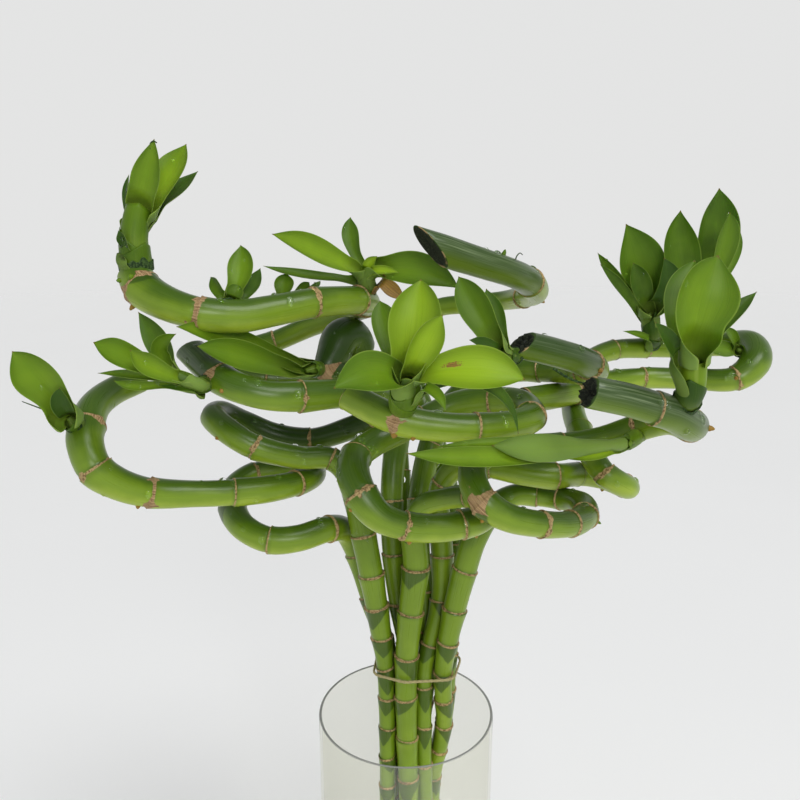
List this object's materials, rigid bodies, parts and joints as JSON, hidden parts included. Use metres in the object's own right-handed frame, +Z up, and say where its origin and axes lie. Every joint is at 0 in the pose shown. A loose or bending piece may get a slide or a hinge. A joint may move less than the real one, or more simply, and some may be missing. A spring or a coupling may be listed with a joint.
{
  "type": "lucky bamboo in a glass vase",
  "caption": "Lucky bamboo: bare canes trained into curled loops with leafy side shoots, bound by a thin tie and standing in water in a clear straight glass cylinder vase.",
  "frame": {"origin": "centre of the vase's underside, on the surface that the vase stands on", "axes": "+Z up along the vase's axis, +X to the right as the picture shows it, +Y away from the viewer"},
  "size_m": [0.398, 0.2375, 0.5631],
  "materials": {
    "glass": "clear polished",
    "water": "clear liquid",
    "tie": "dull natural string",
    "cane": "waxy green bark",
    "leaf": "smooth satin leaf"
  },
  "bodies": {
    "root": {"vase": "glass", "water": "water", "tie_band": "tie", "cane_left_outer": "cane", "cane_left_inner": "cane", "cane_left_middle": "cane", "cane_front": "cane", "cane_centre": "cane", "cane_right_low": "cane", "cane_far_right": "cane", "cane_top": "cane", "cane_top_left": "cane", "shoot_top_left": "leaf", "shoot_left": "leaf", "shoot_left_middle": "leaf", "shoot_inner_left": "leaf", "shoot_behind_left": "leaf", "shoot_behind_middle": "leaf", "shoot_top_middle": "leaf", "shoot_centre": "leaf", "shoot_front": "leaf", "shoot_low_right": "leaf", "shoot_far_right": "leaf", "shoot_far_turn": "leaf", "shoot_tall_right": "leaf", "shoot_right": "leaf"}
  },
  "joints": []
}
